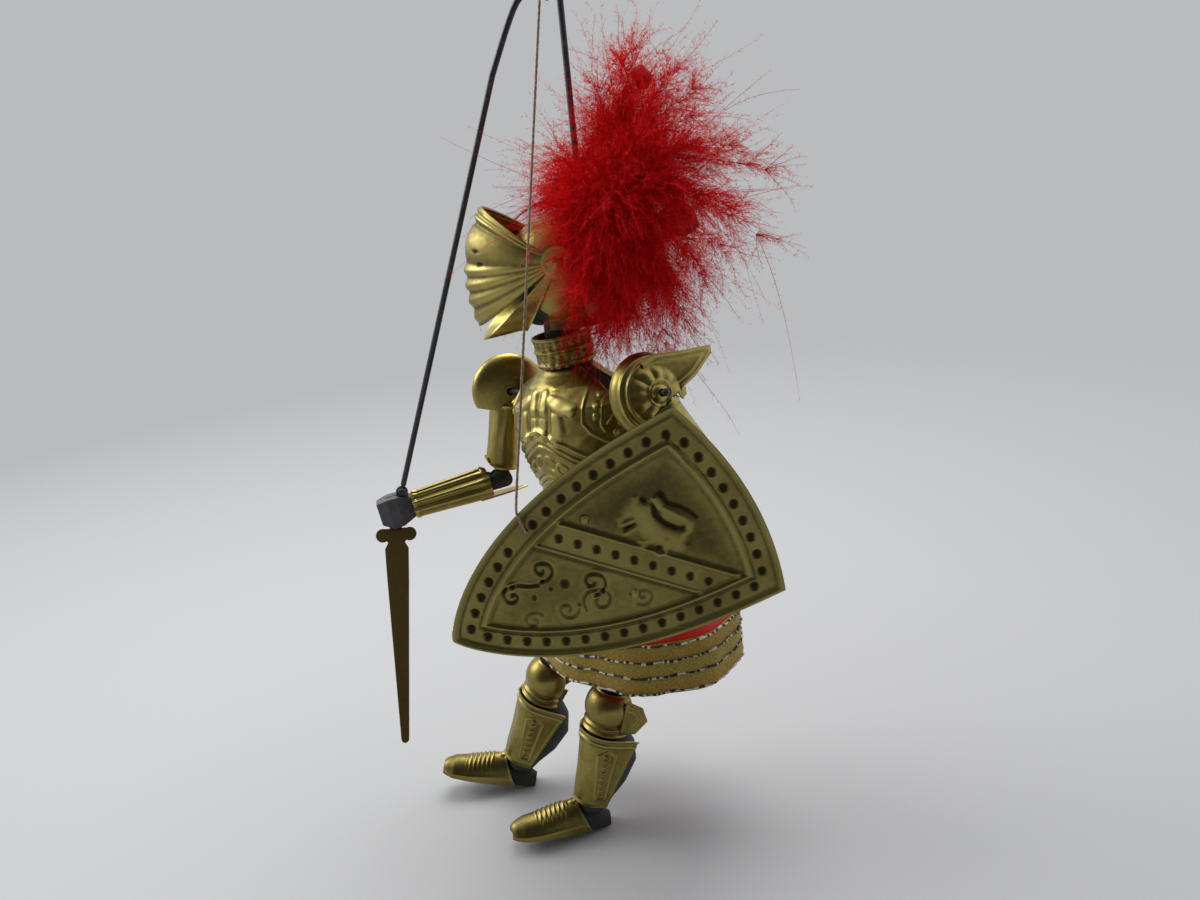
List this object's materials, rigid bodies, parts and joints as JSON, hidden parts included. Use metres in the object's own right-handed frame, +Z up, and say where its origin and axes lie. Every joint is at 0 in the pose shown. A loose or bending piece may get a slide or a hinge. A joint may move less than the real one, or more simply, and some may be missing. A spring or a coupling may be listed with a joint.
{
  "type": "knight marionette",
  "caption": "Hanging knight marionette in embossed sheet brass: jointed limbs, ribbed visor, shield, sword, red skirt and feather plume, worked by wire rods and a string.",
  "frame": {"origin": "centre of the round eye at the top of the head rod, where the marionette hangs", "axes": "+Z up along the head rod, -Y where the knight's body faces, +X to the knight's left, the shield side"},
  "size_m": [0.205, 0.1837, 0.4157],
  "materials": {
    "wire": "dark blue-grey painted wire",
    "brass": "stamped sheet brass, warm yellow, darker in the hollows",
    "old_brass": "stamped sheet brass with an olive patina",
    "core": "dark grey-green moulded core",
    "cast_hands": "dull lead-grey cast metal",
    "feathers": "bright red fluffy feathers",
    "red_cloth": "deep red woven cloth",
    "brocade": "gold brocade braid with dark and pale stitched lines",
    "twine": "light brown twine"
  },
  "bodies": {
    "head_rod": {"head_rod": "wire", "shield_string": "twine"},
    "head": {"crown_eye": "brass", "helmet": "old_brass", "head_core": "core", "chin_guard": "brass", "visor_rivets": "old_brass", "plume_tube": "brass", "plume": "feathers", "neck_pin": "wire"},
    "visor": {"visor": "brass"},
    "torso": {"torso_core": "core", "breastplate": "old_brass", "backplate": "old_brass", "gorget": "brass", "plate_rivets": "old_brass", "skirt": "red_cloth", "hem_braid": "brocade", "right_shoulder_pin": "wire", "left_shoulder_pin": "wire"},
    "right_upper_arm": {"right_upper_arm": "core", "right_pauldron": "brass", "right_arm_plate": "brass", "right_elbow_pin": "wire"},
    "right_forearm": {"right_forearm": "core", "right_forearm_plate": "brass", "right_hand": "cast_hands", "sword": "brass", "hand_pin": "wire"},
    "hand_rod": {"hand_rod": "wire"},
    "left_upper_arm": {"left_upper_arm": "core", "left_pauldron": "brass", "left_arm_plate": "brass", "left_elbow_pin": "wire"},
    "left_forearm": {"left_forearm": "core", "left_forearm_plate": "brass", "left_hand": "cast_hands", "shield": "old_brass", "shield_strap": "brass", "shield_rivets": "old_brass"},
    "right_hip": {"right_hip_hook": "wire"},
    "right_thigh": {"right_thigh": "core", "right_hip_pin": "wire", "right_knee_pin": "wire"},
    "right_shin": {"right_shin": "core", "right_knee_cop": "brass", "right_greave": "old_brass", "right_sabaton": "brass"},
    "left_hip": {"left_hip_hook": "wire"},
    "left_thigh": {"left_thigh": "core", "left_hip_pin": "wire", "left_knee_pin": "wire"},
    "left_shin": {"left_shin": "core", "left_knee_cop": "brass", "left_greave": "old_brass", "left_sabaton": "brass"}
  },
  "joints": [
    {"name": "head_nod", "type": "hinge", "parent": "head_rod", "child": "head", "pos_m": [-0.00321, -0.00383, -0.102], "axis": [0.7656, -0.6424, -0.0349], "range_deg": [-10, 3]},
    {"name": "visor_lift", "type": "hinge", "parent": "head", "child": "visor", "pos_m": [-0.00865, -0.00906, -0.12499], "axis": [-0.7656, 0.6424, 0.0349], "range_deg": [0, 40]},
    {"name": "neck_turn", "type": "hinge", "parent": "head", "child": "torso", "pos_m": [-0.006, -0.0135, -0.168], "axis": [0, 0, 1], "range_deg": [-25, 30]},
    {"name": "right_elbow", "type": "hinge", "parent": "right_upper_arm", "child": "right_forearm", "pos_m": [-0.05784, -0.02202, -0.23819], "axis": [-0.8729, 0.4839, -0.062], "range_deg": [-6, 25]},
    {"name": "right_shoulder", "type": "hinge", "parent": "torso", "child": "right_upper_arm", "pos_m": [-0.05563, -0.01228, -0.19329], "axis": [-0.8729, 0.4839, -0.062], "range_deg": [-3.6, 15]},
    {"name": "hand_rod_pivot", "type": "hinge", "parent": "right_forearm", "child": "hand_rod", "pos_m": [-0.0822, -0.06578, -0.23672], "axis": [-0.8729, 0.4839, -0.062], "range_deg": [-40, 9.6]},
    {"name": "left_elbow", "type": "hinge", "parent": "left_upper_arm", "child": "left_forearm", "pos_m": [0.06161, 0.00607, -0.22228], "axis": [-0.9521, 0.1807, -0.2465], "range_deg": [0, 25], "deforming": ["shield_string"]},
    {"name": "left_shoulder", "type": "hinge", "parent": "torso", "child": "left_upper_arm", "pos_m": [0.0478, -0.01228, -0.18242], "axis": [-0.9521, 0.1807, -0.2465], "range_deg": [0, 9]},
    {"name": "right_hip_turn", "type": "hinge", "parent": "torso", "child": "right_hip", "pos_m": [-0.01321, -0.00666, -0.28116], "axis": [0, 0, 1], "range_deg": [-17, 25]},
    {"name": "right_hip_swing", "type": "hinge", "parent": "right_hip", "child": "right_thigh", "pos_m": [-0.01321, -0.00666, -0.28116], "axis": [-0.7314, 0.682, 0], "range_deg": [-40, 3]},
    {"name": "right_knee", "type": "hinge", "parent": "right_thigh", "child": "right_shin", "pos_m": [-0.03152, -0.02629, -0.34146], "axis": [0.7314, -0.682, 0], "range_deg": [0, 70]},
    {"name": "left_hip_turn", "type": "hinge", "parent": "torso", "child": "left_hip", "pos_m": [0.02458, -0.00666, -0.27719], "axis": [0, 0, 1], "range_deg": [-24, 30]},
    {"name": "left_hip_swing", "type": "hinge", "parent": "left_hip", "child": "left_thigh", "pos_m": [0.02458, -0.00666, -0.27719], "axis": [-0.8988, 0.4384, 0], "range_deg": [-38, 12]},
    {"name": "left_knee", "type": "hinge", "parent": "left_thigh", "child": "left_shin", "pos_m": [0.01516, -0.02598, -0.3396], "axis": [0.8988, -0.4384, 0], "range_deg": [-2, 70]}
  ],
  "couplings": [
    {"joint": "right_shoulder", "follows": "right_elbow", "ratio": 0.6},
    {"joint": "hand_rod_pivot", "follows": "right_elbow", "ratio": -1.6},
    {"joint": "left_shoulder", "follows": "left_elbow", "ratio": 0.35}
  ]
}
